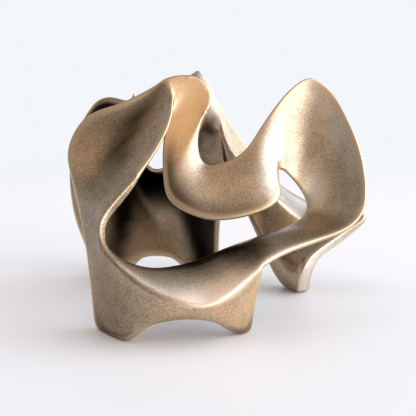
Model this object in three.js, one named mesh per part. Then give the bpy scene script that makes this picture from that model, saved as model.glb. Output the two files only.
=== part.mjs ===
import * as THREE from "three";

// Abstract cast metal sculpture: one folded sheet that stands on five feet.
// Millimetres, X to the right, Y to the back, Z up, floor at Z = 0.
//
// The sheet is made of ribbons and patches with shared edges: a band, a leaf,
// a neck with a shield, and an arm with its leg. A ribbon lies between two edge
// curves and a patch inside four. An edge curve is a short list of stations,
// and a station is where the edge is seen from the reference view and how deep
// it lies there.

// reference view: a level floor seen from the front and a little from above
const VIEW_FOCAL = 720;
const VIEW_CENTRE = 208;
const VIEW_HORIZON = 78;
const VIEW_DISTANCE = 765;
const VIEW_HEIGHT = 230;

// metal thickness of the sheet, at the top, in the middle and at the floor
const SHEET_TOP = 3.6;
const SHEET_MIDDLE = 5.4;
const SHEET_FLOOR = 11;
const THIN_ABOVE = 190;
const THICK_BELOW = 48;

// the waist, where the band starts as a narrow rim of thinner metal
const WAIST = { across: 104, down: 225, depth: -135, reach: 34, thinner: 1.6 };

// rounding of the free edges, as a share of half the thickness, and how far the
// sheet draws back for it: a share of the rounding, and no more than a share of
// the nearest cell or of the room beside the edge
const EDGE_ROUND = 0.8;
const EDGE_STEPS = 2;
const INSET_OF_ROUND = 0.7;
const INSET_OF_CELL = 0.4;
const MOST_ROOM = 4;

// the most that a fold widens the offset: one over this cosine
const SHARPEST_FOLD = 0.8;

// a point lower than this stands on the floor
const FLOOR_REACH = 0.5;

// cells of the surface: per station along a ribbon, and across each ribbon
const CELLS_ALONG = 3;
const CELLS_BAND = 6;
const CELLS_NECK = 10;
const CELLS_SHIELD_TOP = 18;
const CELLS_SHIELD_DOWN = 15;
const CELLS_ARM = 4;
const CELLS_LEG = 10;
const CELLS_LEG_SIDE = 2;

// passes that even out the sheet between its edges, each by this share, and
// passes that even out the direction in which a ribbon bows
const RELAX_PASSES = 6;
const RELAX_SHARE = 0.5;
const BOW_PASSES = 6;

// points closer than this are one point
const WELD_STEP = 0.02;

// Station rows: [station, across, down, depth]. No depth: the point is on the floor.

// lip: down the leaf, round the waist and skirt, up the wing, through the U, over the crest
const LIP_LEAF = [[0, 173, 98, -46], [1, 171, 117, -58], [2, 161, 142, -72], [3, 142, 171, -92],
  [4, 119.3, 195.5, -112], [5, 101.5, 218.5, -131]];
const LIP_SKIRT = [[6, 98.2, 238, -146], [6.5, 102, 250.5, -154], [7, 111.5, 261, -161],
  [8, 142, 286, -170], [9, 176, 301, -171], [10, 205, 306, -167], [11, 229, 295, -158],
  [12, 252, 275, -145], [13, 281, 255.5, -125]];
const LIP_WING = [[14, 316, 242, -105], [15, 347, 229.5, -90], [16, 363, 212, -76],
  [17, 366, 185, -64], [18, 360, 150, -46], [19, 347, 118, -27], [20, 331, 92, -8],
  [21, 311, 78, -4], [22, 293, 87.5, -14], [23, 277, 105, -27], [24, 262, 126, -40]];
const LIP_U = [[25, 250, 145, -52], [26, 239, 156, -60], [27, 226, 162.5, -66],
  [28, 211, 166, -68.5], [29, 200.5, 160, -66], [30, 197, 143, -60], [31, 200, 125, -53],
  [32, 207, 111, -46]];
const LIP_CREST = [[33, 211, 100, -39], [34, 209, 89, -32], [35, 201, 80, -28.5],
  [36, 190, 76, -28.5], [37, 177, 76, -32], [38, 165, 79, -37]];
const LIP = [...LIP_LEAF, ...LIP_SKIRT, ...LIP_WING, ...LIP_U, ...LIP_CREST];

// inner edge of the band: back of the trough, the hole in the wing, under the tongue, up to the fold
const INNER_TROUGH = [[3, 142, 171, -92], [3.5, 133, 185.2, -100.5], [4, 123.4, 198.6, -108],
  [5, 106, 220.5, -126.5], [6, 102.8, 237.8, -141.5], [6.5, 105.3, 249.3, -149], [7, 114.8, 260, -152],
  [8, 146, 270, -130], [9, 172, 268.5, -118], [10, 196, 262.5, -106], [11, 219, 253, -98],
  [12, 240, 245, -90], [13, 262, 237.5, -82], [14, 284, 229.5, -72]];
const INNER_HOLE = [[15, 298, 222, -62], [16, 305, 215, -54], [17, 307.5, 206, -50],
  [18, 305, 197, -48], [19, 300, 188, -47], [20, 294, 180, -46], [21, 288, 173.5, -47],
  [22, 283.5, 170, -50], [23, 278, 169, -55]];
const INNER_TONGUE = [[24, 278, 179, -64], [25, 280, 196, -78], [26, 268, 208, -90],
  [27, 240, 217.5, -98], [28, 210, 219.5, -102], [29, 183, 210, -102], [30, 168, 197, -97]];
const INNER_FOLD = [[31, 164, 178, -87], [32, 163, 158, -74], [33, 164, 141, -65],
  [34, 166, 127, -58], [35, 169, 116, -53], [36, 171.5, 108, -50], [37, 172.5, 103, -47.5],
  [38, 173, 98, -46]];
const INNER = [...INNER_TROUGH, ...INNER_HOLE, ...INNER_TONGUE, ...INNER_FOLD];

// outer edge of the leaf, the front leg and the skirt with its arch
const RIM_LEAF = [[0, 165, 79, -37], [1, 150, 89, -40], [2, 122, 103, -48], [3, 86, 117, -56],
  [4, 68, 150, -66], [5, 74, 187, -86], [6, 87, 245, -114], [6.6, 93, 295, -128]];
const RIM_FEET = [[7, 99, 327.5], [8, 129, 341], [8.4, 140, 330, -163], [9, 156, 321, -163],
  [10, 193, 316, -160], [10.6, 219, 320, -155], [11, 235, 333.5], [11.6, 250, 331.5],
  [12, 253, 303, -138], [12.34, 260.5, 275, -139]];
const RIM = [...RIM_LEAF, ...RIM_FEET];

// shield at the back: neck below the crest, then the wide part with its horn, feet and arch
const NECK_LEFT = [[4, 207, 111, -46], [5, 197, 130, -16], [6, 181, 152, 20], [7, 163, 169.5, 50]];
const NECK_RIGHT = [[0, 197, 71, -6], [1, 203.5, 79, -4], [2, 210.5, 90, -4],
  [3, 214.5, 102, -2], [4, 218.5, 116, 4], [5, 221.5, 135, 14], [6, 225, 158, 30],
  [7, 224, 188, 48]];
const SHIELD_TOP = [[0, 87, 115, 80], [1, 96, 102, 83], [2, 109, 97, 84], [3, 122, 100, 83],
  [4, 131, 101, 81], [5, 134.5, 92, 80], [6, 138, 120, 78], [7, 142, 152, 74],
  [8, 150, 169, 64], [9, 163, 169.5, 50]];
const SHIELD_SIDE_LEFT = [[0, 87, 115, 80], [1, 74, 138, 80], [2, 70, 168, 78], [3, 72, 200, 75],
  [4, 79, 229, 72], [5, 98, 273.5]];
const SHIELD_SIDE_RIGHT = [[0, 224, 188, 48], [2, 219.5, 222, 60], [4, 218, 253, 69],
  [5, 217, 272]];
const SHIELD_FEET = [[0, 98, 273.5], [1, 120, 274], [2, 133, 265.5, 70], [3, 145, 256.5, 73],
  [4, 169, 256.5, 75], [5, 182, 265, 74], [6, 194, 273.5], [7, 217, 272]];

// arm from the back of the crest to the right tip, and the leg that hangs from it
const ARM_UPPER = [[0, 197, 71, -6], [1, 203, 77, 6], [2, 210, 88, 12], [3, 217, 103, 20],
  [4, 227, 120, 32], [5, 246, 147, 50], [6, 262, 168, 60], [7, 281, 186, 64],
  [8, 303, 200, 60], [9, 325, 210, 56], [10, 350, 215, 45], [11, 367.5, 217, 24]];
const ARM_LOWER = [[4, 218.5, 116, 4], [5, 226, 142, 14], [6, 236, 157, 20], [7, 258, 183, 26],
  [8, 279, 202, 26], [9, 300, 220, 22], [10, 335, 226, 22], [11, 367.5, 217, 24]];
const LEG_LEFT = [[0, 225, 158, 30], [1, 237, 184, 29], [2, 254, 218, 20], [3, 262, 240, 14],
  [4, 272, 266, 8], [5, 286, 286]];
const LEG_EDGE = [[0, 367.5, 217, 24], [1, 350, 229, 14], [2, 329, 243.5, 0], [3, 311, 257, -14],
  [4, 302, 273, -20], [5, 298.5, 291.5]];
const LEG_RIGHT = [[0, 367.5, 217, 24], [1, 354, 230, 24], [2, 335, 245, 10], [3, 318, 258, -5],
  [4, 310.5, 273, -11], [5, 306.5, 290]];

// hollow of each ribbon across its width: [station, depth of the hollow]
const BAND_HOLLOW = [[3, 0], [6, 0], [8, 4], [10, 12], [12, 12], [13, 9], [14, 4], [15, 0], [16, -3],
  [18, -6], [21, -5], [23, -3], [25, 2], [27, 3], [29, 2], [31, 0], [34, 0], [38, 0]];
const LEAF_HOLLOW = [[0, 0], [1, 8], [3, 14], [5, 6], [6, 3], [7, 0], [13, 0]];
const NECK_HOLLOW = [[0, 0], [4, 3], [7, 16]];
const ARM_HOLLOW = [[0, 0], [4, -4], [7, -5], [11, 0]];

// stations at the ends of the ribbons, and where they leave a shared edge
const BAND_START = 3;
const LEAF_END = 12 + 1 / 3;
const BAND_END = 38;
const NECK_START_ON_LIP = 36;
const NECK_JOIN = 4;
const NECK_END = 7;
const SHIELD_TOP_END = 9;
const SHIELD_FEET_END = 7;
const SHIELD_SIDE_END = 5;
const SHIELD_HOLLOW = 22;
const ARM_END = 11;
const LEG_START = 4;
const LEG_SPLIT = 6;
const LEG_END = 5;
const BACKWARD = new THREE.Vector3(0, 1, 0);

// a sight line of the reference view
function sight(across, down) {
  const pitch = Math.atan((VIEW_CENTRE - VIEW_HORIZON) / VIEW_FOCAL);
  const ahead = new THREE.Vector3(0, Math.cos(pitch), -Math.sin(pitch));
  const up = new THREE.Vector3(0, Math.sin(pitch), Math.cos(pitch));
  return ahead.multiplyScalar(VIEW_FOCAL)
    .add(new THREE.Vector3(across - VIEW_CENTRE, 0, 0))
    .addScaledVector(up, VIEW_CENTRE - down);
}

// the point of a sight line at a given depth, or on the floor when no depth is given
function seen(across, down, depth) {
  const line = sight(across, down);
  const reach = depth === undefined
    ? -VIEW_HEIGHT / line.z
    : (depth + VIEW_DISTANCE) / line.y;
  return new THREE.Vector3(0, -VIEW_DISTANCE, VIEW_HEIGHT).addScaledVector(line, reach);
}

// smooth value through the stations of a list, at station s
function through(stations, values, s) {
  const last = stations.length - 1;
  let i = 0;
  while (i < last - 1 && s >= stations[i + 1]) i += 1;
  const slope = (k) => values[k + 1].clone().sub(values[k])
    .divideScalar(stations[k + 1] - stations[k]);
  const tangent = (k) => {
    if (k === 0) return slope(0);
    if (k === last) return slope(last - 1);
    const before = stations[k] - stations[k - 1];
    const after = stations[k + 1] - stations[k];
    return slope(k - 1).multiplyScalar(after / (before + after))
      .addScaledVector(slope(k), before / (before + after));
  };
  const span = stations[i + 1] - stations[i];
  const t = (s - stations[i]) / span;
  return values[i].clone().multiplyScalar(2 * t ** 3 - 3 * t ** 2 + 1)
    .addScaledVector(tangent(i), (t ** 3 - 2 * t ** 2 + t) * span)
    .addScaledVector(values[i + 1], 3 * t ** 2 - 2 * t ** 3)
    .addScaledVector(tangent(i + 1), (t ** 3 - t ** 2) * span);
}

function stationsBetween(from, to, perStation) {
  const count = Math.round((to - from) * perStation);
  return Array.from({ length: count + 1 }, (_, k) => from + (to - from) * k / count);
}

function edge(rows, list) {
  const stations = rows.map((row) => row[0]);
  const points = rows.map((row) => seen(row[1], row[2], row[3]));
  return list.map((s) => through(stations, points, s));
}

function hollowAt(rows, list) {
  const stations = rows.map((row) => row[0]);
  const values = rows.map((row) => new THREE.Vector3(row[1], 0, 0));
  return list.map((s) => through(stations, values, s).x);
}

// 0 at both ends of a stretch and 1 in its middle
function bow(share) {
  return 4 * share * (1 - share);
}

// grid of points between two edges, bowed sideways by the hollow
function ribbon(first, second, hollow, cells, direction) {
  const count = first.length;
  const middle = first.map((p, k) => p.clone().lerp(second[k], 0.5));
  let normals = first.map((p, k) => {
    if (direction) return direction.clone();
    const before = middle[Math.max(k - 1, 0)];
    const after = middle[Math.min(k + 1, count - 1)];
    const chord = second[k].clone().sub(p);
    return after.clone().sub(before).cross(chord).normalize();
  });
  for (let pass = 0; pass < BOW_PASSES; pass += 1) {
    normals = normals.map((n, k) => {
      if (k === 0 || k === count - 1) return n;
      return n.clone().multiplyScalar(2).add(normals[k - 1]).add(normals[k + 1]);
    }).map((n) => n.normalize());
  }
  return first.map((p, k) => Array.from({ length: cells + 1 }, (_, j) => {
    const share = j / cells;
    return p.clone().lerp(second[k], share)
      .addScaledVector(normals[k], hollow[k] * bow(share));
  }));
}

// grid of points inside four edges
function patch(top, bottom, left, right) {
  const rows = left.length - 1;
  const columns = top.length - 1;
  return left.map((_, i) => top.map((__, j) => {
    const u = i / rows;
    const v = j / columns;
    return top[j].clone().multiplyScalar(1 - u)
      .addScaledVector(bottom[j], u)
      .addScaledVector(left[i], 1 - v)
      .addScaledVector(right[i], v)
      .addScaledVector(top[0], -(1 - u) * (1 - v))
      .addScaledVector(top[columns], -(1 - u) * v)
      .addScaledVector(bottom[0], -u * (1 - v))
      .addScaledVector(bottom[columns], -u * v);
  }));
}

function sheetGrids() {
  const lipAt = (s) => edge(LIP, [s])[0];

  const bandStations = stationsBetween(BAND_START, BAND_END, CELLS_ALONG);
  const bandInner = edge(INNER, bandStations);
  bandInner[0] = lipAt(BAND_START);
  bandInner[bandInner.length - 1] = lipAt(0);
  const band = ribbon(edge(LIP, bandStations), bandInner,
    hollowAt(BAND_HOLLOW, bandStations), CELLS_BAND);

  const leafStations = stationsBetween(0, LEAF_END, CELLS_ALONG);
  const leafRim = edge(RIM, leafStations);
  leafRim[0] = lipAt(BAND_END);
  const leaf = ribbon(edge(LIP, leafStations), leafRim,
    hollowAt(LEAF_HOLLOW, leafStations), CELLS_BAND);
  band[band.length - 1] = [...leaf[0]].reverse();

  const neckStations = stationsBetween(0, NECK_END, CELLS_ALONG);
  const neckLeft = neckStations.map((s) => (s <= NECK_JOIN
    ? lipAt(NECK_START_ON_LIP - s)
    : edge(NECK_LEFT, [s])[0]));
  const neck = ribbon(neckLeft, edge(NECK_RIGHT, neckStations),
    hollowAt(NECK_HOLLOW, neckStations), CELLS_NECK, BACKWARD);

  const neckFoot = neck[neck.length - 1];
  const topEdge = edge(SHIELD_TOP,
    stationsBetween(0, SHIELD_TOP_END, CELLS_SHIELD_TOP / SHIELD_TOP_END));
  const shieldTop = [...topEdge.slice(0, -1), ...neckFoot];
  const columns = shieldTop.length - 1;
  const sideStations = stationsBetween(0, SHIELD_SIDE_END, CELLS_SHIELD_DOWN / SHIELD_SIDE_END);
  const shield = patch(shieldTop,
    edge(SHIELD_FEET, stationsBetween(0, SHIELD_FEET_END, columns / SHIELD_FEET_END)),
    edge(SHIELD_SIDE_LEFT, sideStations), edge(SHIELD_SIDE_RIGHT, sideStations));
  shield.forEach((row, i) => row.forEach((p, j) => {
    p.addScaledVector(BACKWARD, SHIELD_HOLLOW * bow(i / (shield.length - 1)) * bow(j / columns));
  }));

  const armStations = stationsBetween(0, ARM_END, CELLS_ALONG);
  const armLower = armStations.map((s) => edge(s <= NECK_JOIN ? NECK_RIGHT : ARM_LOWER, [s])[0]);
  const armUpper = edge(ARM_UPPER, armStations);
  armUpper[0] = armLower[0];
  armUpper[armUpper.length - 1] = armLower[armLower.length - 1];
  const arm = ribbon(armLower, armUpper, hollowAt(ARM_HOLLOW, armStations), CELLS_ARM);

  const legTop = armLower.slice(LEG_START * CELLS_ALONG);
  const legFree = edge(LEG_LEFT, stationsBetween(0, LEG_END, CELLS_LEG / LEG_END));
  const legJoined = edge(NECK_RIGHT, stationsBetween(LEG_START, LEG_SPLIT, CELLS_ALONG));
  const legLeft = [...legJoined.slice(0, -1), ...legFree];
  const legRows = legLeft.length - 1;
  const legStations = stationsBetween(0, LEG_END, legRows / LEG_END);
  const legEdge = edge(LEG_EDGE, legStations);
  const legRight = edge(LEG_RIGHT, legStations);
  const tip = legTop[legTop.length - 1];
  legLeft[0] = legTop[0];
  legEdge[0] = tip;
  legRight[0] = tip;
  const legColumns = legTop.length - 1;
  const legBottom = legTop.map((_, k) => (
    legLeft[legRows].clone().lerp(legEdge[legRows], k / legColumns)));
  const leg = patch(legTop, legBottom, legLeft, legEdge);
  const legSide = legEdge.map((p, k) => stationsBetween(0, 1, CELLS_LEG_SIDE)
    .map((share) => p.clone().lerp(legRight[k], share)));

  return { grids: [band, leaf, neck, shield, arm, leg, legSide], soft: neckFoot.slice(1, -1) };
}

// one list of points and one list of cells from all the grids, with shared edges joined
function weld({ grids, soft }) {
  const points = [];
  const known = new Map();
  const cells = [];
  const indexOf = (p) => {
    const key = [p.x, p.y, p.z].map((value) => Math.round(value / WELD_STEP)).join(" ");
    if (!known.has(key)) {
      known.set(key, points.length);
      points.push(p);
    }
    return known.get(key);
  };
  const kept = new Set();
  for (const grid of grids) {
    const index = grid.map((row) => row.map(indexOf));
    index.forEach((row, i) => row.forEach((value, j) => {
      const border = i === 0 || j === 0 || i === index.length - 1 || j === row.length - 1;
      if (border) kept.add(value);
    }));
    for (let i = 0; i < index.length - 1; i += 1) {
      for (let j = 0; j < index[i].length - 1; j += 1) {
        const ring = [index[i][j], index[i + 1][j], index[i + 1][j + 1], index[i][j + 1]];
        const cell = ring.filter((value, k) => ring.indexOf(value) === k);
        if (cell.length > 2) cells.push(cell);
      }
    }
  }
  soft.forEach((p) => kept.delete(indexOf(p)));
  return { points, cells, kept };
}

function pairsOf(cell) {
  return cell.map((a, k) => [a, cell[(k + 1) % cell.length]]);
}

// the same winding for every cell, spread from cell to cell over the shared sides
function orient(cells) {
  const sides = new Map();
  const key = (a, b) => (a < b ? `${a} ${b}` : `${b} ${a}`);
  cells.forEach((cell, f) => pairsOf(cell).forEach(([a, b]) => {
    if (!sides.has(key(a, b))) sides.set(key(a, b), []);
    sides.get(key(a, b)).push(f);
  }));
  const result = cells.map((cell) => [...cell]);
  const done = new Set([0]);
  const waiting = [0];
  while (waiting.length > 0) {
    const f = waiting.shift();
    for (const [a, b] of pairsOf(result[f])) {
      for (const g of sides.get(key(a, b))) {
        if (done.has(g)) continue;
        if (pairsOf(result[g]).some(([c, d]) => c === a && d === b)) result[g].reverse();
        done.add(g);
        waiting.push(g);
      }
    }
  }
  return result;
}

// even out the sheet: every point inside a ribbon moves towards its neighbours
function relax({ points, cells, kept }, passes) {
  const near = points.map(() => new Set());
  for (const [a, b] of cells.flatMap((cell) => pairsOf(cell))) {
    near[a].add(b);
    near[b].add(a);
  }
  let result = points;
  for (let pass = 0; pass < passes; pass += 1) {
    result = result.map((p, index) => {
      if (kept.has(index)) return p;
      const mean = new THREE.Vector3();
      near[index].forEach((other) => mean.addScaledVector(result[other], 1 / near[index].size));
      return p.clone().lerp(mean, RELAX_SHARE);
    });
  }
  return result;
}

function cellNormal(points, cell) {
  const [a, b, c, d] = cell.map((index) => points[index]);
  const one = c.clone().sub(a);
  const two = (d === undefined ? c : d).clone().sub(b);
  return one.cross(two).normalize();
}

function thicknessAt(p) {
  const foot = Math.max(0, (THICK_BELOW - p.z) / THICK_BELOW);
  const top = Math.min(1, Math.max(0, p.z - THICK_BELOW) / (THIN_ABOVE - THICK_BELOW));
  const fromWaist = p.distanceTo(seen(WAIST.across, WAIST.down, WAIST.depth)) / WAIST.reach;
  return SHEET_MIDDLE
    + (SHEET_FLOOR - SHEET_MIDDLE) * foot ** 2
    + (SHEET_TOP - SHEET_MIDDLE) * top ** 2
    - WAIST.thinner * Math.exp(-(fromWaist ** 2));
}

// closed body: the sheet moved out to both sides, with a rounded strip along every free edge
function thicken(points, cells) {
  const count = points.length;
  const faceNormals = cells.map((cell) => cellNormal(points, cell));
  const around = points.map(() => []);
  cells.forEach((cell, f) => cell.forEach((index) => around[index].push(f)));
  const normals = points.map(() => new THREE.Vector3());
  cells.forEach((cell, f) => cell.forEach((index, k) => {
    const next = points[cell[(k + 1) % cell.length]].clone().sub(points[index]);
    const previous = points[cell[(k + cell.length - 1) % cell.length]].clone().sub(points[index]);
    normals[index].addScaledVector(faceNormals[f], next.angleTo(previous));
  }));
  normals.forEach((n) => n.normalize());
  const half = points.map((p, index) => {
    const lean = Math.min(...around[index].map((f) => faceNormals[f].dot(normals[index])));
    return thicknessAt(p) / 2 / Math.max(SHARPEST_FOLD, lean);
  });

  const body = [];
  for (const side of [1, -1]) {
    points.forEach((p, index) => {
      body.push(p.clone().addScaledVector(normals[index], side * half[index]));
    });
  }
  const faces = [];
  cells.forEach((cell) => faces.push([...cell]));
  cells.forEach((cell) => faces.push(cell.map((index) => index + count).reverse()));

  const used = new Set(cells.flatMap((cell) => pairsOf(cell).map(([a, b]) => `${a} ${b}`)));
  const free = cells.flatMap((cell) => pairsOf(cell)).filter(([a, b]) => !used.has(`${b} ${a}`));
  const outward = new Map();
  for (const [a, b] of free) {
    const direction = points[b].clone().sub(points[a]).normalize();
    for (const index of [a, b]) {
      if (!outward.has(index)) outward.set(index, new THREE.Vector3());
      outward.get(index).add(direction.clone().cross(normals[index]));
    }
  }
  const strips = new Map();
  for (const [index, direction] of outward) {
    direction.normalize();
    const inner = around[index].flatMap((f) => cells[f]).filter((other) => !outward.has(other));
    const toInner = inner.map((other) => points[other].distanceTo(points[index]));
    const room = Math.min(...toInner, half[index] * MOST_ROOM);
    const round = half[index] * EDGE_ROUND;
    const onFloor = points[index].z < FLOOR_REACH;
    const inset = onFloor ? 0 : Math.min(round * INSET_OF_ROUND, room * INSET_OF_CELL);
    for (const side of [index, index + count]) body[side].addScaledVector(direction, -inset);
    const strip = [index];
    for (let k = 1; k < EDGE_STEPS; k += 1) {
      const angle = Math.PI * k / EDGE_STEPS;
      strip.push(body.length);
      body.push(points[index].clone()
        .addScaledVector(normals[index], half[index] * Math.cos(angle))
        .addScaledVector(direction, round * Math.sin(angle) - inset));
    }
    strip.push(index + count);
    strips.set(index, strip);
  }
  for (const [a, b] of free) {
    const near = strips.get(a);
    const far = strips.get(b);
    for (let k = 0; k < EDGE_STEPS; k += 1) {
      faces.push([far[k], near[k], near[k + 1], far[k + 1]]);
    }
  }
  for (const [index, strip] of strips) {
    if (points[index].z < FLOOR_REACH) strip.forEach((k) => body[k].setZ(0));
  }
  body.forEach((p) => p.setZ(Math.max(p.z, 0)));
  return { body, faces };
}

function toGeometry(body, faces) {
  const box = new THREE.Box3().setFromPoints(body);
  const centre = box.getCenter(new THREE.Vector3());
  const triangles = [];
  for (const face of faces) {
    if (face.length === 3) {
      triangles.push(face);
      continue;
    }
    const [a, b, c, d] = face;
    const shortFirst = body[a].distanceTo(body[c]) <= body[b].distanceTo(body[d]);
    if (shortFirst) triangles.push([a, b, c], [a, c, d]);
    else triangles.push([a, b, d], [b, c, d]);
  }
  const geometry = new THREE.BufferGeometry();
  const flat = body.flatMap((p) => [p.x - centre.x, p.y - centre.y, p.z - box.min.z]);
  geometry.setAttribute("position", new THREE.Float32BufferAttribute(flat, 3));
  geometry.setIndex(triangles.flat());
  geometry.computeVertexNormals();
  return geometry;
}

const sheet = weld(sheetGrids());
const cells = orient(sheet.cells);
const { body, faces } = thicken(relax(sheet, RELAX_PASSES), cells);

const bronze = new THREE.MeshStandardMaterial({ color: "#9a7b52", metalness: 1, roughness: 0.38 });
const sculpture = new THREE.Mesh(toGeometry(body, faces), bronze);
sculpture.name = "sculpture";

const group = new THREE.Group();
group.name = "abstract_sculpture";
group.add(sculpture);

export default group;
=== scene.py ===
import math

import bpy
import numpy as np
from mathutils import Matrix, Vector


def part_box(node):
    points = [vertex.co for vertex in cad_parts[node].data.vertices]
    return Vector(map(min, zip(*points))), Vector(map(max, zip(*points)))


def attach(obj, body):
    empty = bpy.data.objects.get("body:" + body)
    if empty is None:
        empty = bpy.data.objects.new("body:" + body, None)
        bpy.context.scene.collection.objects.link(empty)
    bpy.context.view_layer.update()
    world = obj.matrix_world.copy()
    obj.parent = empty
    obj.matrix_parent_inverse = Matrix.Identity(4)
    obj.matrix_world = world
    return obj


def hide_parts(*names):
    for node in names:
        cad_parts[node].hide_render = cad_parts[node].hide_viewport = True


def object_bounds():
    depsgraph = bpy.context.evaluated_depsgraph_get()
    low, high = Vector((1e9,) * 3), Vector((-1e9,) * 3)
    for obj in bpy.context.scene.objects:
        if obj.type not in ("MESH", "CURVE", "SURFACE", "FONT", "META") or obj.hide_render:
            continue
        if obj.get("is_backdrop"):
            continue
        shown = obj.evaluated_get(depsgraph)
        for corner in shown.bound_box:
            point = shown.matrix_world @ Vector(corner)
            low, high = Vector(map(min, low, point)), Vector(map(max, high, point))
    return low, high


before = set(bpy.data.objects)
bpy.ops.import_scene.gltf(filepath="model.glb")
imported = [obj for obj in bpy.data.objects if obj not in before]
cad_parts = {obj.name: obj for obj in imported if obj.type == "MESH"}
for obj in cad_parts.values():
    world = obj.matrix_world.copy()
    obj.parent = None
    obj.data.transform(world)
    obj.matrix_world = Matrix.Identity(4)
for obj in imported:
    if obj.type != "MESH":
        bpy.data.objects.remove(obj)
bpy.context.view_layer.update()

# The eye of the view: it stands in front of the sculpture, 765 mm from its middle and
# 230 mm above the floor, and looks a little down. The view is 416 wide and 416 high.
VIEW_FOCAL = 720
VIEW_SIZE = 416
VIEW_CENTRE = VIEW_SIZE / 2
VIEW_HORIZON = 78
VIEW_DISTANCE = 765
VIEW_HEIGHT = 230

view_pitch = math.atan((VIEW_CENTRE - VIEW_HORIZON) / VIEW_FOCAL)
eye = np.array([0.0, -VIEW_DISTANCE, VIEW_HEIGHT])
ahead = np.array([0.0, math.cos(view_pitch), -math.sin(view_pitch)])
upward = np.array([0.0, math.sin(view_pitch), math.cos(view_pitch)])


def seen(across, down, depth=None):
    """The point of a sight line at a depth in millimetres, or on the floor without one."""
    line = ahead * VIEW_FOCAL + np.array([across - VIEW_CENTRE, 0, 0]) + upward * (VIEW_CENTRE - down)
    reach = -VIEW_HEIGHT / line[2] if depth is None else (depth + VIEW_DISTANCE) / line[1]
    return eye + line * reach


# The casting: one folded sheet of bronze, poured in a sand mould in one piece, with
# its free edges filed round and its feet filed flat. It stands by its own weight.
# Station rows: [station, across the view, down the view, mm behind the middle]. Where
# the last number is left out, the point is on the floor.
LIP_LEAF = [[0, 173, 98, -46], [1, 171, 117, -58], [2, 161, 142, -72], [3, 142, 171, -92],
            [4, 119.3, 195.5, -112], [5, 101.5, 218.5, -131]]
LIP_SKIRT = [[6, 98.2, 238, -146], [6.5, 102, 250.5, -154], [7, 111.5, 261, -161],
             [8, 142, 286, -170], [9, 176, 301, -171], [10, 205, 306, -167], [11, 229, 295, -158],
             [12, 252, 275, -145], [13, 281, 255.5, -125]]
LIP_WING = [[14, 316, 242, -105], [15, 347, 229.5, -90], [16, 363, 212, -76], [17, 366, 185, -64],
            [18, 360, 150, -46], [19, 347, 118, -27], [20, 331, 92, -8], [21, 311, 78, -4],
            [22, 293, 87.5, -14], [23, 277, 105, -27], [24, 262, 126, -40]]
LIP_U = [[25, 250, 145, -52], [26, 239, 156, -60], [27, 226, 162.5, -66], [28, 211, 166, -68.5],
         [29, 200.5, 160, -66], [30, 197, 143, -60], [31, 200, 125, -53], [32, 207, 111, -46]]
LIP_CREST = [[33, 211, 100, -39], [34, 209, 89, -32], [35, 201, 80, -28.5], [36, 190, 76, -28.5],
             [37, 177, 76, -32], [38, 165, 79, -37]]
LIP = LIP_LEAF + LIP_SKIRT + LIP_WING + LIP_U + LIP_CREST

INNER_TROUGH = [[3, 142, 171, -92], [3.5, 133, 185.2, -100.5], [4, 123.4, 198.6, -108],
                [5, 106, 220.5, -126.5], [6, 102.8, 237.8, -141.5], [6.5, 105.3, 249.3, -149],
                [7, 114.8, 260, -152], [8, 146, 270, -130], [9, 172, 268.5, -118], [10, 196, 262.5, -106],
                [11, 219, 253, -98], [12, 240, 245, -90], [13, 262, 237.5, -82],
                [14, 284, 229.5, -72]]
INNER_HOLE = [[15, 298, 222, -62], [16, 305, 215, -54], [17, 307.5, 206, -50], [18, 305, 197, -48],
              [19, 300, 188, -47], [20, 294, 180, -46], [21, 288, 173.5, -47],
              [22, 283.5, 170, -50], [23, 278, 169, -55]]
INNER_TONGUE = [[24, 278, 179, -64], [25, 280, 196, -78], [26, 268, 208, -90],
                [27, 240, 217.5, -98], [28, 210, 219.5, -102], [29, 183, 210, -102],
                [30, 168, 197, -97]]
INNER_FOLD = [[31, 164, 178, -87], [32, 163, 158, -74], [33, 164, 141, -65], [34, 166, 127, -58],
              [35, 169, 116, -53], [36, 171.5, 108, -50], [37, 172.5, 103, -47.5], [38, 173, 98, -46]]
INNER = INNER_TROUGH + INNER_HOLE + INNER_TONGUE + INNER_FOLD

RIM_LEAF = [[0, 165, 79, -37], [1, 150, 89, -40], [2, 122, 103, -48], [3, 86, 117, -56],
            [4, 68, 150, -66], [5, 74, 187, -86], [6, 87, 245, -114], [6.6, 93, 295, -128]]
RIM_FEET = [[7, 99, 327.5], [8, 129, 341], [8.4, 140, 330, -163], [9, 156, 321, -163],
            [10, 193, 316, -160], [10.6, 219, 320, -155], [11, 235, 333.5], [11.6, 250, 331.5],
            [12, 253, 303, -138], [12.34, 260.5, 275, -139]]
RIM = RIM_LEAF + RIM_FEET

NECK_LEFT = [[4, 207, 111, -46], [5, 197, 130, -16], [6, 181, 152, 20], [7, 163, 169.5, 50]]
NECK_RIGHT = [[0, 197, 71, -6], [1, 203.5, 79, -4], [2, 210.5, 90, -4], [3, 214.5, 102, -2],
              [4, 218.5, 116, 4], [5, 221.5, 135, 14], [6, 225, 158, 30], [7, 224, 188, 48]]
SHIELD_TOP = [[0, 87, 115, 80], [1, 96, 102, 83], [2, 109, 97, 84], [3, 122, 100, 83],
              [4, 131, 101, 81], [5, 134.5, 92, 80], [6, 138, 120, 78], [7, 142, 152, 74],
              [8, 150, 169, 64], [9, 163, 169.5, 50]]
SHIELD_SIDE_LEFT = [[0, 87, 115, 80], [1, 74, 138, 80], [2, 70, 168, 78], [3, 72, 200, 75],
                    [4, 79, 229, 72], [5, 98, 273.5]]
SHIELD_SIDE_RIGHT = [[0, 224, 188, 48], [2, 219.5, 222, 60], [4, 218, 253, 69], [5, 217, 272]]
SHIELD_FEET = [[0, 98, 273.5], [1, 120, 274], [2, 133, 265.5, 70], [3, 145, 256.5, 73],
               [4, 169, 256.5, 75], [5, 182, 265, 74], [6, 194, 273.5], [7, 217, 272]]

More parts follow.
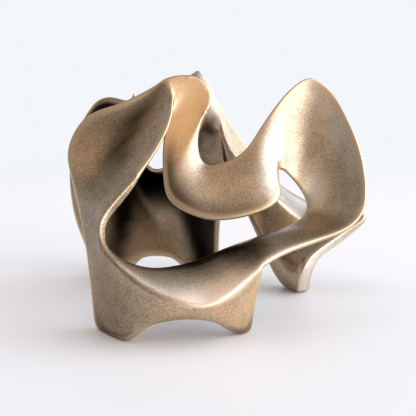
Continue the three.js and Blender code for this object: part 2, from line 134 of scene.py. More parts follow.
ARM_UPPER = [[0, 197, 71, -6], [1, 203, 77, 6], [2, 210, 88, 12], [3, 217, 103, 20],
             [4, 227, 120, 32], [5, 246, 147, 50], [6, 262, 168, 60], [7, 281, 186, 64],
             [8, 303, 200, 60], [9, 325, 210, 56], [10, 350, 215, 45], [11, 367.5, 217, 24]]
ARM_LOWER = [[4, 218.5, 116, 4], [5, 226, 142, 14], [6, 236, 157, 20], [7, 258, 183, 26],
             [8, 279, 202, 26], [9, 300, 220, 22], [10, 335, 226, 22], [11, 367.5, 217, 24]]
LEG_LEFT = [[0, 225, 158, 30], [1, 237, 184, 29], [2, 254, 218, 20], [3, 262, 240, 14],
            [4, 272, 266, 8], [5, 286, 286]]
LEG_EDGE = [[0, 367.5, 217, 24], [1, 350, 229, 14], [2, 329, 243.5, 0], [3, 311, 257, -14],
            [4, 302, 273, -20], [5, 298.5, 291.5]]
LEG_RIGHT = [[0, 367.5, 217, 24], [1, 354, 230, 24], [2, 335, 245, 10], [3, 318, 258, -5],
             [4, 310.5, 273, -11], [5, 306.5, 290]]

BAND_HOLLOW = [[3, 0], [6, 0], [8, 4], [10, 12], [12, 12], [13, 9], [14, 4], [15, 0], [16, -3],
               [18, -6], [21, -5], [23, -3], [25, 2], [27, 3], [29, 2], [31, 0], [34, 0], [38, 0]]
LEAF_HOLLOW = [[0, 0], [1, 8], [3, 14], [5, 6], [6, 3], [7, 0], [13, 0]]
NECK_HOLLOW = [[0, 0], [4, 3], [7, 16]]
ARM_HOLLOW = [[0, 0], [4, -4], [7, -5], [11, 0]]
SHIELD_HOLLOW = 22

# the stations where the ribbons start, join and end
BAND_START = 3
LEAF_END = 12 + 1 / 3
BAND_END = 38
NECK_START_ON_LIP = 36
NECK_JOIN = 4
NECK_END = 7
SHIELD_TOP_END = 9
SHIELD_FEET_END = 7
SHIELD_SIDE_END = 5
ARM_END = 11
LEG_START = 4
LEG_SPLIT = 6
LEG_END = 5

# the mesh: cells along one station, across each ribbon, and passes that even it out
CELLS_ALONG = 3
CELLS_BAND = 6
CELLS_NECK = 10
CELLS_SHIELD_TOP = 18
CELLS_SHIELD_DOWN = 15
CELLS_ARM = 4
CELLS_LEG = 10
CELLS_LEG_SIDE = 2
RELAX_PASSES = 6
NORMAL_PASSES = 6
WELDS_PER_MM = 50

# metal thickness of the sheet, at the top, in the middle and at the floor, and the
# waist, where the band starts as a narrow rim of thinner metal
SHEET_TOP = 3.6
SHEET_MIDDLE = 5.4
SHEET_FLOOR = 11
THIN_ABOVE = 190
THICK_BELOW = 48
WAIST = [104, 225, -135]
WAIST_REACH = 34
WAIST_THINNER = 1.6
SHARPEST_FOLD = 0.8

# rounding of the free edges, as a share of half the thickness, and how far the
# sheet draws back for it
EDGE_ROUND = 0.8
EDGE_STEPS = 3
INSET_OF_CELL = 0.4
INSET_OF_ROUND = 0.7
MOST_ROOM = 4
FLOOR_REACH = 0.5
SMOOTH_LEVELS = 2


def through(stations, values, s):
    """Smooth values at the stations s, through the given values."""
    stations = np.array(stations, float)
    values = np.array(values, float)
    slope = np.diff(values, axis=0) / np.diff(stations)[:, None]
    before = np.diff(stations)[:-1, None]
    after = np.diff(stations)[1:, None]
    inner = (slope[:-1] * after + slope[1:] * before) / (before + after)
    tangent = np.vstack([slope[:1], inner, slope[-1:]])
    s = np.array(s, float)
    i = np.clip(np.searchsorted(stations, s, side="right") - 1, 0, len(stations) - 2)
    span = (stations[i + 1] - stations[i])[:, None]
    t = (s - stations[i])[:, None] / span
    return (values[i] * (2 * t**3 - 3 * t**2 + 1) + tangent[i] * span * (t**3 - 2 * t**2 + t)
            + values[i + 1] * (3 * t**2 - 2 * t**3) + tangent[i + 1] * span * (t**3 - t**2))


def between(start, end, per_station):
    """Even stations from start to end."""
    return np.linspace(start, end, round((end - start) * per_station) + 1)


def edge(rows, s):
    """The points of an edge at the stations s."""
    return through([row[0] for row in rows], [seen(*row[1:]) for row in rows], s)


def hollow_at(rows, s):
    """How far a ribbon is bowed, in millimetres, at the stations s."""
    return through([row[0] for row in rows], [[row[1]] for row in rows], s)


def bow(share):
    """A shallow arch: 0 at both ends and 1 in the middle."""
    return 4 * share * (1 - share)


def unit(vectors):
    """The same directions with length 1."""
    return vectors / np.maximum(np.linalg.norm(vectors, axis=1, keepdims=True), 1e-9)


def ribbon(first, second, hollow, cells, direction=None):
    """Grid of points between two edges, bowed sideways by the hollow."""
    middle = (first + second) / 2
    ahead_of = np.vstack([middle[1:], middle[-1:]])
    behind = np.vstack([middle[:1], middle[:-1]])
    normal = np.cross(ahead_of - behind, second - first)
    if direction is not None:
        normal = np.tile(np.array(direction, float), (len(first), 1))
    for _ in range(NORMAL_PASSES):
        normal = unit(normal)
        normal[1:-1] = 2 * normal[1:-1] + normal[:-2] + normal[2:]
    share = np.linspace(0, 1, cells + 1)[None, :, None]
    bowed = (hollow * unit(normal))[:, None, :] * bow(share)
    return first[:, None, :] * (1 - share) + second[:, None, :] * share + bowed


def patch(top, bottom, left, right):
    """Grid of points inside four edges."""
    u = np.linspace(0, 1, len(left))[:, None, None]
    v = np.linspace(0, 1, len(top))[None, :, None]
    corners = (top[0] * (1 - u) * (1 - v) + top[-1] * (1 - u) * v
               + bottom[0] * u * (1 - v) + bottom[-1] * u * v)
    return top[None] * (1 - u) + bottom[None] * u + left[:, None] * (1 - v) + right[:, None] * v - corners


s = between(BAND_START, BAND_END, CELLS_ALONG)
band_inner = edge(INNER, s)
band_inner[0] = edge(LIP, [BAND_START])[0]
band_inner[-1] = edge(LIP, [0])[0]
band = ribbon(edge(LIP, s), band_inner, hollow_at(BAND_HOLLOW, s), CELLS_BAND)

s = between(0, LEAF_END, CELLS_ALONG)
leaf_rim = edge(RIM, s)
leaf_rim[0] = edge(LIP, [BAND_END])[0]
leaf = ribbon(edge(LIP, s), leaf_rim, hollow_at(LEAF_HOLLOW, s), CELLS_BAND)
band[-1] = leaf[0][::-1]

s = between(0, NECK_END, CELLS_ALONG)
on_band = (s <= NECK_JOIN)[:, None]
neck_left = np.where(on_band, edge(LIP, NECK_START_ON_LIP - s), edge(NECK_LEFT, s))
neck = ribbon(neck_left, edge(NECK_RIGHT, s), hollow_at(NECK_HOLLOW, s), CELLS_NECK, (0, 1, 0))

shield_top = edge(SHIELD_TOP, between(0, SHIELD_TOP_END, CELLS_SHIELD_TOP / SHIELD_TOP_END))
shield_top = np.vstack([shield_top[:-1], neck[-1]])
columns = len(shield_top) - 1
s = between(0, SHIELD_SIDE_END, CELLS_SHIELD_DOWN / SHIELD_SIDE_END)
shield = patch(shield_top, edge(SHIELD_FEET, np.linspace(0, SHIELD_FEET_END, columns + 1)),
               edge(SHIELD_SIDE_LEFT, s), edge(SHIELD_SIDE_RIGHT, s))
u = np.linspace(0, 1, len(s))[:, None]
v = np.linspace(0, 1, columns + 1)[None, :]
shield[:, :, 1] += SHIELD_HOLLOW * bow(u) * bow(v)

s = between(0, ARM_END, CELLS_ALONG)
arm_lower = np.where((s <= NECK_JOIN)[:, None], edge(NECK_RIGHT, s), edge(ARM_LOWER, s))
arm_upper = edge(ARM_UPPER, s)
arm_upper[0] = arm_lower[0]
arm_upper[-1] = arm_lower[-1]
arm = ribbon(arm_lower, arm_upper, hollow_at(ARM_HOLLOW, s), CELLS_ARM)

leg_top = arm_lower[LEG_START * CELLS_ALONG:]
leg_joined = edge(NECK_RIGHT, between(LEG_START, LEG_SPLIT, CELLS_ALONG))
leg_left = np.vstack([leg_joined[:-1], edge(LEG_LEFT, between(0, LEG_END, CELLS_LEG / LEG_END))])
leg_stations = np.linspace(0, LEG_END, len(leg_left))
leg_edge = edge(LEG_EDGE, leg_stations)
leg_right = edge(LEG_RIGHT, leg_stations)
leg_edge[0] = leg_right[0] = leg_top[-1]
share = np.linspace(0, 1, len(leg_top))[:, None]
leg = patch(leg_top, leg_left[-1] * (1 - share) + leg_edge[-1] * share, leg_left, leg_edge)
share = np.linspace(0, 1, CELLS_LEG_SIDE + 1)[None, :, None]
leg_side = leg_edge[:, None, :] * (1 - share) + leg_right[:, None, :] * share

# Painted shade: darkness painted into the folds, the hollows and along the feet, where shade falls, and
# darker on the lower left leg. Rows: [station, share across the ribbon, half width, strength to the eye].
# Band and leaf keep their stations, the other ribbons count from 0 to 1.
LEAF_FOLD = [[0, 0.9, 0.2, 0], [1.2, 0.8, 0.24, 0.4], [2, 0.63, 0.18, 0.6], [3, 0.45, 0.16, 0.65],
             [4, 0.4, 0.2, 0.2], [5, 0.5, 0.3, 0.1], [6, 0.5, 0.3, 0], [13, 0.5, 0.3, 0]]
LEAF_CROWN = [[1, 0.85, 0.3, 0], [2, 0.85, 0.3, 0.25], [2.8, 0.85, 0.3, 0.2], [3.6, 0.85, 0.3, 0]]
LEG_DARKER = [[0, 0.5, 0.6, 0], [5, 0.5, 0.6, 0], [5.8, 0.5, 0.7, 0.12], [6.6, 0.5, 0.7, 0.15],
             [7.6, 0.5, 0.7, 0.2], [8.6, 0.4, 0.5, 0.09], [9.4, 0.4, 0.5, 0], [13, 0.5, 0.3, 0]]
FOOT_SHADE = [[0, 1, 0.1, 0], [6.8, 1, 0.1, 0], [7.2, 1, 0.07, 0.7], [8, 1, 0.07, 0.7],
              [8.4, 1, 0.06, 0], [10.8, 1, 0.06, 0], [11, 1, 0.07, 0.7], [11.6, 1, 0.07, 0.7],
              [12, 1, 0.06, 0]]
TROUGH_BACK = [[3, 1, 0.3, 0], [6, 1, 0.3, 0.2], [8, 1, 0.25, 0.2], [9, 0.95, 0.25, 0.6],
               [10, 0.85, 0.27, 0.8], [11, 0.8, 0.3, 0.6], [12.3, 0.35, 0.4, 0.6],
               [13, 0.5, 0.4, 0.1], [15, 0.6, 0.4, 0], [17, 0.5, 0.3, 0]]
TONGUE_LIP = [[3, 1, 0.2, 0], [24, 1, 0.2, 0], [26, 1, 0.22, 0.2], [28, 1, 0.25, 0.35],
              [29.5, 0.95, 0.3, 0.65], [31, 0.9, 0.2, 0.5], [33, 0.95, 0.15, 0.1], [34, 1, 0.1, 0]]
SHIELD_LEFT_FOLD = [[0, 0.4, 0.3, 1], [0.3, 0.4, 0.25, 1], [0.65, 0.36, 0.17, 1], [0.8, 0.3, 0.14, 1],
                    [0.93, 0.17, 0.12, 0.6], [1, 0.12, 0.1, 0.3]]
SHIELD_RIGHT_FOLD = [[0, 0.8, 0.22, 1], [0.4, 0.85, 0.1, 1], [0.67, 0.89, 0.07, 1],
                     [0.87, 0.92, 0.06, 1], [1, 0.92, 0.05, 0.5]]
SHIELD_RIM = [[0, 1, 0.12, 0.7], [1, 1, 0.12, 0.6]]
SHIELD_HEAD = [[0, 0.6, 0.8, 1], [0.2, 0.6, 0.7, 1], [0.35, 0.6, 0.5, 0.6], [0.5, 0.6, 0.5, 0.1],
               [1, 0.5, 0.4, 0]]
NECK_FOLD = [[0, 0.5, 0.4, 0], [0.55, 0.5, 0.4, 0], [0.68, 0.4, 0.4, 0.4], [0.78, 0.4, 0.5, 0.2],
             [0.86, 0.6, 0.5, 0], [0.95, 0.5, 0.6, 0.5], [1, 0.5, 0.6, 0.9]]
LEG_FOLD = [[0, 0.4, 0.6, 0], [0.3, 0.4, 0.4, 0.15], [0.55, 0.4, 0.4, 0.15], [0.7, 0.3, 0.3, 0],
            [1, 0.3, 0.3, 0.1]]

# painted highlights where the faces catch the light, and painted warm reflections where golden light
# falls, in the same rows
TROUGH_SHINE = [[7, 0.3, 0.4, 0], [8, 0.3, 0.4, 0.18], [9.3, 0.15, 0.3, 0.33], [10.2, 0.05, 0.22, 0.7],
                [11.7, 0, 0.17, 0.6], [12.6, 0, 0.1, 0.3], [14, 0, 0.1, 0]]
WING_SHINE = [[17, 0, 0.3, 0], [19, 0.1, 0.3, 0.3], [20.5, 0.1, 0.27, 0.27], [21.5, 0.12, 0.2, 0.1],
              [23, 0.1, 0.2, 0]]
TONGUE_SHINE = [[22, 0.6, 0.4, 0], [23.3, 0.65, 0.3, 0.25], [24.7, 0.5, 0.4, 0.28],
                [25.4, 0.75, 0.28, 0.16], [26, 0.9, 0.2, 0.1], [26.8, 0.7, 0.3, 0.02],
                [29, 0.6, 0.5, 0.22], [30.3, 0.6, 0.4, 0.15], [31.2, 0.6, 0.4, 0]]
HOLE_SHINE = [[16, 0.85, 0.2, 0], [17.5, 0.85, 0.22, 0.5], [19, 0.85, 0.2, 0.3], [20, 0.9, 0.2, 0]]
LEG_SHINE = [[0, 0.5, 0.8, 0.1], [0.6, 0.5, 0.8, 0.6], [1, 0.5, 0.8, 0.6]]
ARM_SHINE = [[0, 0.5, 0.5, 0], [0.5, 0.5, 0.5, 0], [0.68, 0.6, 0.5, 0.7], [0.8, 0.6, 0.5, 0.5],
             [1, 0.5, 0.5, 0]]
BEND_WARM_LIGHT = [[29, 0.5, 0.3, 0], [31, 0.45, 0.3, 0.3], [32.7, 0.62, 0.5, 0.75],
             [34.5, 0.5, 0.6, 0.62], [36, 0.4, 0.6, 0.45], [38, 0.5, 0.6, 0.2]]
SKIRT_WARM_LIGHT = [[7.5, 0.4, 0.5, 0], [8.5, 0.4, 0.5, 0.05], [9.2, 0.4, 0.5, 0.12],
              [10.5, 0.4, 0.5, 0.23], [11.5, 0.6, 0.5, 0.32], [12.3, 0.6, 0.5, 0.4]]

# strengths are set for the eye, and this power turns them into shares of light; then how
# quickly a face turns from front to back, and the share of the painted shade that back faces and rims keep
EYE_GAMMA = 2.2
FACE_TURN = 2
BACK_SHADE_SHARE = 0.12
RIM_SHADE_SHARE = 0.25

points = []
shade_at = {}
highlight_at = {}
warm_light_at = {}
known = {}
cells = []
kept = set()


def index_of(p):
    """The number of a point in the sheet, the same for ribbons that share an edge."""
    key = tuple(np.round(p * WELDS_PER_MM).astype(int))
    if key not in known:
        known[key] = len(points)
        points.append(p)
    return known[key]


def painted(lines, station, share):
    """How strongly a place of a ribbon is covered by the lines painted on it."""
    bare = 1
    for line in lines:
        stations, centres, widths, strengths = zip(*line)
        off = share - np.interp(station, stations, centres)
        width = np.interp(station, stations, widths)
        bare *= 1 - np.interp(station, stations, strengths) * math.exp(-(off / width) ** 2)
    return 1 - bare ** EYE_GAMMA


for grid, start, end, shade_lines, highlight_lines, warm_light_lines in (
        (band, BAND_START, BAND_END, [TROUGH_BACK, TONGUE_LIP],
         [TROUGH_SHINE, WING_SHINE, HOLE_SHINE, TONGUE_SHINE], [BEND_WARM_LIGHT]),
        (leaf, 0, LEAF_END, [LEAF_FOLD, LEAF_CROWN, LEG_DARKER, FOOT_SHADE], [], [SKIRT_WARM_LIGHT]),
        (neck, 0, 1, [NECK_FOLD], [], []),
        (shield, 0, 1, [SHIELD_LEFT_FOLD, SHIELD_RIGHT_FOLD, SHIELD_RIM, SHIELD_HEAD], [], []),
        (arm, 0, 1, [], [ARM_SHINE], []),
        (leg, 0, 1, [LEG_FOLD], [], []),
        (leg_side, 0, 1, [], [LEG_SHINE], [])):
    numbers = [[index_of(p) for p in row] for row in grid]
    for station, row in zip(np.linspace(start, end, len(grid)), numbers):
        for share, index in zip(np.linspace(0, 1, len(row)), row):
            shade_at[index] = max(shade_at.get(index, 0), painted(shade_lines, station, share))
            highlight_at[index] = max(highlight_at.get(index, 0), painted(highlight_lines, station, share))
            warm_light_at[index] = max(warm_light_at.get(index, 0), painted(warm_light_lines, station, share))
    for row, next_row in zip(numbers, numbers[1:]):
        for k in range(len(row) - 1):
            cell = list(dict.fromkeys([row[k], next_row[k], next_row[k + 1], row[k + 1]]))
            if len(cell) > 2:
                cells.append(cell)
    kept.update(numbers[0], numbers[-1], [row[0] for row in numbers], [row[-1] for row in numbers])
kept.difference_update(index_of(p) for p in neck[-1][1:-1])
points = np.array(points)


def sides(cell):
    """The sides of a cell, each as its two point numbers in turn."""
    return list(zip(cell, cell[1:] + cell[:1]))


# the same winding all over the sheet, spread from cell to cell
on_side = {}
for number, cell in enumerate(cells):
    for a, b in sides(cell):
        on_side.setdefault(frozenset((a, b)), []).append(number)
done = {0}
waiting = [0]
while waiting:
    number = waiting.pop()
    for a, b in sides(cells[number]):
        for other in on_side[frozenset((a, b))]:
            if other not in done:
                if (a, b) in sides(cells[other]):
                    cells[other].reverse()
                done.add(other)
                waiting.append(other)

# every point but those on an edge moves half way to the mean of its neighbours
near = [set() for _ in points]
for cell in cells:
    for a, b in sides(cell):
        near[a].add(b)
        near[b].add(a)
for _ in range(RELAX_PASSES):
    mean = np.array([points[list(others)].mean(0) for others in near])
    moved = (points + mean) / 2
    moved[list(kept)] = points[list(kept)]
    points = moved

# the sheet gets its thickness on both sides, and a rounded strip along every free edge
cell_normals = []
normals = np.zeros_like(points)
around = [[] for _ in points]
for number, cell in enumerate(cells):
    p = points[cell]
    normal = np.cross(p[2] - p[0], p[-1] - p[1])
    normal /= np.linalg.norm(normal)
    cell_normals.append(normal)
    for k, index in enumerate(cell):
        one = p[(k + 1) % len(cell)] - p[k]
        two = p[k - 1] - p[k]
        cosine = one @ two / np.linalg.norm(one) / np.linalg.norm(two)
        normals[index] += normal * math.acos(max(-1, min(1, cosine)))
        around[index].append(number)
normals /= np.linalg.norm(normals, axis=1, keepdims=True)
lean = np.array([min(cell_normals[n] @ normals[k] for n in near_cells)
                 for k, near_cells in enumerate(around)])
foot = np.clip((THICK_BELOW - points[:, 2]) / THICK_BELOW, 0, None)
high = np.clip((points[:, 2] - THICK_BELOW) / (THIN_ABOVE - THICK_BELOW), 0, 1)
thickness = (SHEET_MIDDLE + (SHEET_FLOOR - SHEET_MIDDLE) * foot**2
             + (SHEET_TOP - SHEET_MIDDLE) * high**2)
from_waist = np.linalg.norm(points - seen(*WAIST), axis=1)
thickness -= WAIST_THINNER * np.exp(-(from_waist / WAIST_REACH) ** 2)
half = thickness / 2 / np.maximum(lean, SHARPEST_FOLD)

count = len(points)
body = list(points + normals * half[:, None]) + list(points - normals * half[:, None])
worn = [0.0] * (2 * count)
# the painted shade, highlights and warm light lie on the face of the sheet turned to the eye of the view;
# the face turned away keeps only a trace of the shade
to_front = np.clip(0.5 - FACE_TURN * normals @ ahead, 0, 1)
dark = []
bright = []
gold = []
for on_face in (to_front, 1 - to_front):
    dark += [shade_at[k] * (BACK_SHADE_SHARE + (1 - BACK_SHADE_SHARE) * on_face[k]) for k in range(count)]
    bright += [highlight_at[k] * on_face[k] for k in range(count)]
    gold += [warm_light_at[k] * on_face[k] for k in range(count)]
faces = [list(cell) for cell in cells] + [[k + count for k in reversed(cell)] for cell in cells]
used = {side for cell in cells for side in sides(cell)}
free = [side for cell in cells for side in sides(cell) if side[::-1] not in used]
outward = {}
for a, b in free:
    direction = points[b] - points[a]
    direction /= np.linalg.norm(direction)
    for index in (a, b):
        outward[index] = outward.get(index, 0) + np.cross(direction, normals[index])
widest = math.sin(math.pi / EDGE_STEPS * (EDGE_STEPS // 2))
strips = {}
for index, direction in outward.items():
    direction = direction / np.linalg.norm(direction)
    inner = [k for n in around[index] for k in cells[n] if k not in outward]
    room = min([np.linalg.norm(points[k] - points[index]) for k in inner] + [half[index] * MOST_ROOM])
    on_floor = points[index][2] < FLOOR_REACH
    rounding = half[index] * EDGE_ROUND
    inset = 0 if on_floor else min(rounding * INSET_OF_ROUND, room * INSET_OF_CELL)
    strip = [index]
    for k in range(1, EDGE_STEPS):
        angle = math.pi * k / EDGE_STEPS
        strip.append(len(body))
        push = rounding * math.sin(angle) / widest
        aside = normals[index] * half[index] * math.cos(angle)
        body.append(points[index] + aside + direction * (push - inset))
        worn.append(1.0)
        dark.append(shade_at[index] * RIM_SHADE_SHARE)
        bright.append(highlight_at[index])
        gold.append(warm_light_at[index])
    strip.append(index + count)
    for k in (index, index + count):
        body[k] = body[k] - direction * inset
        worn[k] = 1.0
    if on_floor:
        for k in strip:
            body[k] = body[k] * (1, 1, 0)
    strips[index] = strip
for a, b in free:
    for k in range(EDGE_STEPS):
        faces.append([strips[b][k], strips[a][k], strips[a][k + 1], strips[b][k + 1]])
body = np.array(body)
body[:, 2] = np.maximum(body[:, 2], 0)

cad_node_low, cad_node_high = (np.array(p) * 1000 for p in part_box("sculpture"))
shift = (cad_node_low + cad_node_high - body.min(0) - body.max(0)) / 2 * (1, 1, 0)
mesh = bpy.data.meshes.new("casting")
mesh.from_pydata(((body + shift) / 1000).tolist(), [], faces)
mesh.validate()
mesh.polygons.foreach_set("use_smooth", [True] * len(mesh.polygons))
mesh.attributes.new("worn_edge", "FLOAT", "POINT").data.foreach_set("value", worn)
mesh.attributes.new("painted_fold_shade", "FLOAT", "POINT").data.foreach_set("value", dark)
mesh.attributes.new("painted_highlight", "FLOAT", "POINT").data.foreach_set("value", bright)
mesh.attributes.new("painted_warm_light", "FLOAT", "POINT").data.foreach_set("value", gold)
casting = bpy.data.objects.new("bronze_casting", mesh)
bpy.context.scene.collection.objects.link(casting)
smooth = casting.modifiers.new("smooth", "SUBSURF")
smooth.levels = SMOOTH_LEVELS
smooth.render_levels = SMOOTH_LEVELS


def linear(hex_colour):
    """An sRGB hex colour as the linear RGBA that shaders take."""
    parts = [int(hex_colour[k:k + 2], 16) / 255 for k in (1, 3, 5)]
    return [p / 12.92 if p <= 0.04045 else ((p + 0.055) / 1.055) ** 2.4 for p in parts] + [1]


def node(tree, kind, settings=None, links=None):
    """Adds a node: settings are properties or sockets, links are the outputs that feed its sockets."""
    made = tree.nodes.new(kind)
    for name, value in (settings or {}).items():
        if isinstance(name, int) or name in made.inputs:
            made.inputs[name].default_value = value
        else:
            setattr(made, name, value)
    for name, source in (links or {}).items():
        tree.links.new(source, made.inputs[name])
    return made


# Antique bronze: sand-cast grain left in a brown patina, rubbed bright on the edges.
# It reads as a fine dark and light speckle with soft, broad reflections. The real
# grain is about 0.4 mm; it is drawn at 1.2 mm, so that it still shows.
# Painted shade, painted highlights and painted warm light, held on the sheet, are mixed into the colour.
PATINA = "#64594f"
BRONZE = "#dbc2a1"
# near-black colour of the painted shade in the folds and hollows
FOLD_SHADE_PAINT = "#120e0b"
RUBBED = "#dcc3a0"
HIGHLIGHT_PAINT = "#f2e9dc"
WARM_LIGHT_PAINT = "#f8d09c"
PAINTED_LIGHT_SHARE = 0.6
RIM_WORN_FROM = 0.45
RIM_WORN_SHARE = 0.6
GRAIN_MM = 1.2
GRAIN_RELIEF_MM = 0.1
GRAIN_RELIEF_SHARE = 0.35
SPECKLE_DARK = 0.24
SPECKLE_BRIGHT = 0.72
MOTTLE_MM = 14
MOTTLE_SHARE = 0.1
PATINA_ROUGHNESS = 0.36
BARE_ROUGHNESS = 0.27

bronze = bpy.data.materials.new("antique_bronze")
bronze.use_nodes = True
tree = bronze.node_tree
tree.nodes.clear()
place = node(tree, "ShaderNodeTexCoord")
grain = node(tree, "ShaderNodeTexNoise", {"Scale": 1000 / GRAIN_MM, "Detail": 3.0, "Roughness": 0.65},
             {"Vector": place.outputs["Object"]})
mottle = node(tree, "ShaderNodeTexNoise", {"Scale": 1000 / MOTTLE_MM, "Detail": 3.0, "Roughness": 0.6},
              {"Vector": place.outputs["Object"]})
speckle = node(tree, "ShaderNodeMapRange", {"From Min": SPECKLE_DARK, "From Max": SPECKLE_BRIGHT},
               {"Value": grain.outputs["Fac"]})
cloud = node(tree, "ShaderNodeMapRange",
             {"From Min": 0.3, "From Max": 0.7, "To Min": -MOTTLE_SHARE, "To Max": MOTTLE_SHARE},
             {"Value": mottle.outputs["Fac"]})
tone = node(tree, "ShaderNodeMath", {"operation": "ADD", "use_clamp": True},
            {0: speckle.outputs["Result"], 1: cloud.outputs["Result"]})
# painted highlight: the bronze lightened to near white where the light catches the faces
face = node(tree, "ShaderNodeAttribute", {"attribute_name": "painted_highlight"})
highlighted = node(tree, "ShaderNodeMix", {"data_type": "RGBA", 6: linear(BRONZE), 7: linear(HIGHLIGHT_PAINT)},
                {"Factor": face.outputs["Fac"]})
# painted warm reflection: a golden tone on the bend and the skirt where warm light falls
warm_glow = node(tree, "ShaderNodeAttribute", {"attribute_name": "painted_warm_light"})
highlighted = node(tree, "ShaderNodeMix", {"data_type": "RGBA", 7: linear(WARM_LIGHT_PAINT)},
                {"Factor": warm_glow.outputs["Fac"], 6: highlighted.outputs[2]})
# the painted highlights and painted warm light, with the speckle, set how much of the lighter colour shows
# over the patina
painted_light_sum = node(tree, "ShaderNodeMath", {"operation": "ADD"},
               {0: face.outputs["Fac"], 1: warm_glow.outputs["Fac"]})
speckle_and_painted_light = node(tree, "ShaderNodeMath", {"operation": "MULTIPLY_ADD", 1: PAINTED_LIGHT_SHARE, "use_clamp": True},
                 {0: painted_light_sum.outputs["Value"], 2: tone.outputs["Value"]})
body_colour = node(tree, "ShaderNodeMix", {"data_type": "RGBA", 6: linear(PATINA)},
                   {"Factor": speckle_and_painted_light.outputs["Value"], 7: highlighted.outputs[2]})
# painted shade: the folds, hollows and feet darkened towards near black where shade falls
fold = node(tree, "ShaderNodeAttribute", {"attribute_name": "painted_fold_shade"})
body_colour = node(tree, "ShaderNodeMix", {"data_type": "RGBA", 7: linear(FOLD_SHADE_PAINT)},
                   {"Factor": fold.outputs["Fac"], 6: body_colour.outputs[2]})
wear = node(tree, "ShaderNodeAttribute", {"attribute_name": "worn_edge"})
rubbed = node(tree, "ShaderNodeMapRange", {"From Min": RIM_WORN_FROM, "To Max": RIM_WORN_SHARE},
              {"Value": wear.outputs["Fac"]})
colour = node(tree, "ShaderNodeMix", {"data_type": "RGBA", 7: linear(RUBBED)},
              {"Factor": rubbed.outputs["Result"], 6: body_colour.outputs[2]})
gloss = node(tree, "ShaderNodeMapRange", {"To Min": PATINA_ROUGHNESS, "To Max": BARE_ROUGHNESS},
             {"Value": tone.outputs["Value"]})
relief = node(tree, "ShaderNodeBump", {"Strength": GRAIN_RELIEF_SHARE, "Distance": GRAIN_RELIEF_MM / 1000},
              {"Height": grain.outputs["Fac"]})
# the painted shade in the folds also dims the reflections at a flat angle
glint = node(tree, "ShaderNodeMix", {"data_type": "RGBA", 6: [1, 1, 1, 1], 7: linear(FOLD_SHADE_PAINT)},
             {"Factor": fold.outputs["Fac"]})
shader = node(tree, "ShaderNodeBsdfPrincipled", {"Metallic": 1.0},
              {"Base Color": colour.outputs[2], "Roughness": gloss.outputs["Result"],
               "Specular Tint": glint.outputs[2], "Normal": relief.outputs["Normal"]})
node(tree, "ShaderNodeOutputMaterial", None, {"Surface": shader.outputs["BSDF"]})
mesh.materials.append(bronze)

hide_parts("sculpture")
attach(casting, "root")

# Floor: a plain pale board, painted matt, that fades out before the horizon.
# It is not part of the object.
FLOOR_SIZE = 6.0
FLOOR_DROP = 0.0005
FLOOR_FADE_FROM = 0.55
FLOOR_FADE_TO = 1.5
FLOOR_PAINT = "#eeeded"
FLOOR_ROUGHNESS = 0.55

bpy.ops.mesh.primitive_plane_add(size=FLOOR_SIZE, location=(0, 0, -FLOOR_DROP))
floor = bpy.context.object
floor.name = "floor"
paint = bpy.data.materials.new("matt_floor_paint")
paint.use_nodes = True
tree = paint.node_tree
tree.nodes.clear()
place = node(tree, "ShaderNodeTexCoord")
distance = node(tree, "ShaderNodeVectorMath", {"operation": "LENGTH"}, {0: place.outputs["Object"]})
fade = node(tree, "ShaderNodeMapRange", {"From Min": FLOOR_FADE_FROM, "From Max": FLOOR_FADE_TO},
            {"Value": distance.outputs["Value"]})
fade.interpolation_type = "SMOOTHSTEP"
matt = node(tree, "ShaderNodeBsdfPrincipled",
            {"Base Color": linear(FLOOR_PAINT), "Roughness": FLOOR_ROUGHNESS})
clear = node(tree, "ShaderNodeBsdfTransparent")
blend = node(tree, "ShaderNodeMixShader", None,
             {0: fade.outputs["Result"], 1: matt.outputs["BSDF"], 2: clear.outputs["BSDF"]})
node(tree, "ShaderNodeOutputMaterial", None, {"Surface": blend.outputs["Shader"]})
floor.data.materials.append(paint)
floor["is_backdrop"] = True

# Light: a bright room. A large cool light stands to the right and a warmer one nearer
# the front, a broad low one behind on the right, weaker ones on the left, and a warm
# lamp high in front.
BACKDROP = "#f3f6fb"
ROOM = "#d3d6dc"
ROOM_LEVEL = 0.46
# rows: [degrees right of straight back, degrees up, half width, half height, soft share, tint, strength]
SOURCES = [[92, 35, 30, 26, 0.5, "#e4ecff", 3.35],
           [128, 12, 30, 17, 0.6, "#fff2e0", 2.1],
           [35, 4, 50, 15, 0.6, "#f2f4fc", 2.3],
           [-75, 8, 38, 22, 0.8, "#dce6ff", 0.6],
           [-60, 45, 34, 22, 0.8, "#e8eeff", 0.3],
           [172, 62, 30, 28, 0.9, "#ffcf98", 0.5]]

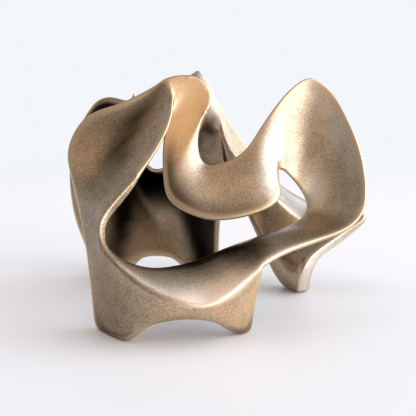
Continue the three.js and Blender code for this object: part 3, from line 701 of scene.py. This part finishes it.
world = bpy.data.worlds.new("room")
bpy.context.scene.world = world
world.use_nodes = True
tree = world.node_tree
tree.nodes.clear()
place = node(tree, "ShaderNodeTexCoord")
room_light = [c * ROOM_LEVEL for c in linear(ROOM)[:3]]
for right, up, half_width, half_height, soft, tint, strength in SOURCES:
    turn = math.radians(90 - right)
    rise = math.radians(up)
    aim = (math.cos(rise) * math.cos(turn), math.cos(rise) * math.sin(turn), math.sin(rise))
    spread = (1, math.sin(math.radians(half_width)), math.sin(math.radians(half_height)))
    local = node(tree, "ShaderNodeMapping", {"vector_type": "TEXTURE", "Location": aim,
                                             "Rotation": (0, -rise, turn), "Scale": spread},
                 {"Vector": place.outputs["Generated"]})
    off_centre = node(tree, "ShaderNodeVectorMath", {"operation": "LENGTH"}, {0: local.outputs["Vector"]})
    glow = node(tree, "ShaderNodeMapRange",
                {"From Min": 1 + soft, "From Max": 1 - soft, "To Max": strength},
                {"Value": off_centre.outputs["Value"]})
    glow.interpolation_type = "SMOOTHSTEP"
    tinted = node(tree, "ShaderNodeVectorMath", {"operation": "SCALE", 0: linear(tint)[:3]},
                  {"Scale": glow.outputs["Result"]})
    summed = node(tree, "ShaderNodeVectorMath", {"operation": "ADD"}, {0: tinted.outputs[0]})
    if isinstance(room_light, list):
        summed.inputs[1].default_value = room_light
    else:
        tree.links.new(room_light, summed.inputs[1])
    room_light = summed.outputs[0]
shown = node(tree, "ShaderNodeLightPath")
sky = node(tree, "ShaderNodeMix", {"data_type": "RGBA", 7: linear(BACKDROP)},
           {"Factor": shown.outputs["Is Camera Ray"], 6: room_light})
background = node(tree, "ShaderNodeBackground", None, {"Color": sky.outputs[2]})
node(tree, "ShaderNodeOutputWorld", None, {"Surface": background.outputs["Background"]})

# Window above: a wide soft light over the floor, in metres and watts. It gives the
# soft shadow on the floor and isn't mirrored in the metal.
WINDOW_AT = Vector((-0.3, 0.5, 1.6))
WINDOW_AIM = Vector((0, 0, 0.05))
WINDOW_WIDTH = 1.8
WINDOW_DEPTH = 1.4
WINDOW_POWER = 8
WINDOW_TINT = "#fffdf8"

window = bpy.data.lights.new("window_above", "AREA")
window.shape = "RECTANGLE"
window.size = WINDOW_WIDTH
window.size_y = WINDOW_DEPTH
window.energy = WINDOW_POWER
window.color = linear(WINDOW_TINT)[:3]
window_light = bpy.data.objects.new("window_above", window)
bpy.context.scene.collection.objects.link(window_light)
window_light.location = WINDOW_AT
window_light.rotation_euler = (WINDOW_AIM - WINDOW_AT).to_track_quat("-Z", "Y").to_euler()
window_light.visible_glossy = False

# Camera: it stands at the eye of the view.
SENSOR_MM = 36
NEAREST = 0.01
FARTHEST = 100

camera_data = bpy.data.cameras.new("camera")
camera_data.sensor_width = SENSOR_MM
camera_data.lens = SENSOR_MM * VIEW_FOCAL / VIEW_SIZE
camera_data.clip_start = NEAREST
camera_data.clip_end = FARTHEST
camera = bpy.data.objects.new("camera", camera_data)
bpy.context.scene.collection.objects.link(camera)
camera.location = (eye + shift) / 1000
camera.rotation_euler = (math.pi / 2 - view_pitch, 0, 0)
bpy.context.scene.camera = camera
bpy.context.scene.view_settings.view_transform = "Standard"

low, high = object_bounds()
